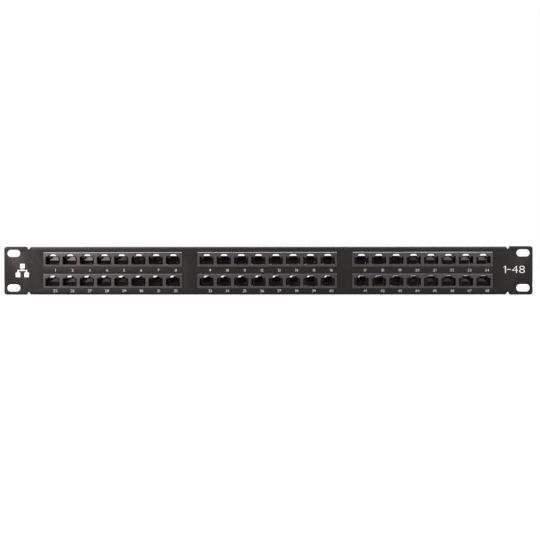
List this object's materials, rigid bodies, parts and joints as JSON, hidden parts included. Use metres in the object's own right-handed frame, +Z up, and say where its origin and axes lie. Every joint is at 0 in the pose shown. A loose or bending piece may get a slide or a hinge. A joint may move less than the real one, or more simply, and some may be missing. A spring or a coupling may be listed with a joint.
{
  "type": "patch panel",
  "caption": "Flat-fronted rack patch panel one rack unit high, with two rows of modular jack ports in front and punch-down blocks behind.",
  "frame": {"origin": "centre of the plane that bears on the rack rails, on the rear face of the front panel's sheet, midway between the ears and between the top and bottom edges", "axes": "+X towards the right ear as seen from the front, +Y from the front to the rear, +Z up"},
  "size_m": [0.4826, 0.0308, 0.044],
  "materials": {
    "black_paint": "satin black powder coat, slightly speckled",
    "black_gloss_plastic": "semi-gloss black moulded plastic",
    "black_matt_plastic": "matt black moulded plastic",
    "grey_plastic": "dark grey moulded plastic",
    "contact_gold": "gold-plated phosphor bronze wire",
    "green_laminate": "green solder mask over glass laminate",
    "label_paper": "white paper label with colour-code blocks",
    "screw_steel": "zinc-plated steel"
  },
  "bodies": {
    "panel_assembly": {"front_panel": "black_paint", "jack_housing_upper_left": "black_gloss_plastic", "contact_carrier_upper_left": "grey_plastic", "circuit_board_upper_left": "green_laminate", "punch_down_block_upper_left": "black_matt_plastic", "wiring_label_upper_left": "label_paper", "board_screw_upper_left_left": "screw_steel", "board_screw_upper_left_right": "screw_steel", "jack_housing_upper_centre": "black_gloss_plastic", "contact_carrier_upper_centre": "grey_plastic", "circuit_board_upper_centre": "green_laminate", "punch_down_block_upper_centre": "black_matt_plastic", "wiring_label_upper_centre": "label_paper", "board_screw_upper_centre_left": "screw_steel", "board_screw_upper_centre_right": "screw_steel", "jack_housing_upper_right": "black_gloss_plastic", "contact_carrier_upper_right": "grey_plastic", "circuit_board_upper_right": "green_laminate", "punch_down_block_upper_right": "black_matt_plastic", "wiring_label_upper_right": "label_paper", "board_screw_upper_right_left": "screw_steel", "board_screw_upper_right_right": "screw_steel", "jack_housing_lower_left": "black_gloss_plastic", "contact_carrier_lower_left": "grey_plastic", "circuit_board_lower_left": "green_laminate", "punch_down_block_lower_left": "black_matt_plastic", "wiring_label_lower_left": "label_paper", "board_screw_lower_left_left": "screw_steel", "board_screw_lower_left_right": "screw_steel", "jack_housing_lower_centre": "black_gloss_plastic", "contact_carrier_lower_centre": "grey_plastic", "circuit_board_lower_centre": "green_laminate", "punch_down_block_lower_centre": "black_matt_plastic", "wiring_label_lower_centre": "label_paper", "board_screw_lower_centre_left": "screw_steel", "board_screw_lower_centre_right": "screw_steel", "jack_housing_lower_right": "black_gloss_plastic", "contact_carrier_lower_right": "grey_plastic", "circuit_board_lower_right": "green_laminate", "punch_down_block_lower_right": "black_matt_plastic", "wiring_label_lower_right": "label_paper", "board_screw_lower_right_left": "screw_steel", "board_screw_lower_right_right": "screw_steel"},
    "contacts_upper_left": {"contact_springs_upper_left": "contact_gold"},
    "contacts_upper_centre": {"contact_springs_upper_centre": "contact_gold"},
    "contacts_upper_right": {"contact_springs_upper_right": "contact_gold"},
    "contacts_lower_left": {"contact_springs_lower_left": "contact_gold"},
    "contacts_lower_centre": {"contact_springs_lower_centre": "contact_gold"},
    "contacts_lower_right": {"contact_springs_lower_right": "contact_gold"}
  },
  "joints": [
    {"name": "press_contacts_upper_left", "type": "hinge", "parent": "panel_assembly", "child": "contacts_upper_left", "pos_m": [-0.1414, 0.00125, 0.0049], "axis": [-1, 0, 0], "range_deg": [0, 8], "stiffness_Nm_per_rad": 0.02},
    {"name": "press_contacts_upper_centre", "type": "hinge", "parent": "panel_assembly", "child": "contacts_upper_centre", "pos_m": [0, 0.00125, 0.0049], "axis": [-1, 0, 0], "range_deg": [0, 8], "stiffness_Nm_per_rad": 0.02},
    {"name": "press_contacts_upper_right", "type": "hinge", "parent": "panel_assembly", "child": "contacts_upper_right", "pos_m": [0.1414, 0.00125, 0.0049], "axis": [-1, 0, 0], "range_deg": [0, 8], "stiffness_Nm_per_rad": 0.02},
    {"name": "press_contacts_lower_left", "type": "hinge", "parent": "panel_assembly", "child": "contacts_lower_left", "pos_m": [-0.1414, 0.00125, -0.01485], "axis": [-1, 0, 0], "range_deg": [0, 8], "stiffness_Nm_per_rad": 0.02},
    {"name": "press_contacts_lower_centre", "type": "hinge", "parent": "panel_assembly", "child": "contacts_lower_centre", "pos_m": [0, 0.00125, -0.01485], "axis": [-1, 0, 0], "range_deg": [0, 8], "stiffness_Nm_per_rad": 0.02},
    {"name": "press_contacts_lower_right", "type": "hinge", "parent": "panel_assembly", "child": "contacts_lower_right", "pos_m": [0.1414, 0.00125, -0.01485], "axis": [-1, 0, 0], "range_deg": [0, 8], "stiffness_Nm_per_rad": 0.02}
  ]
}
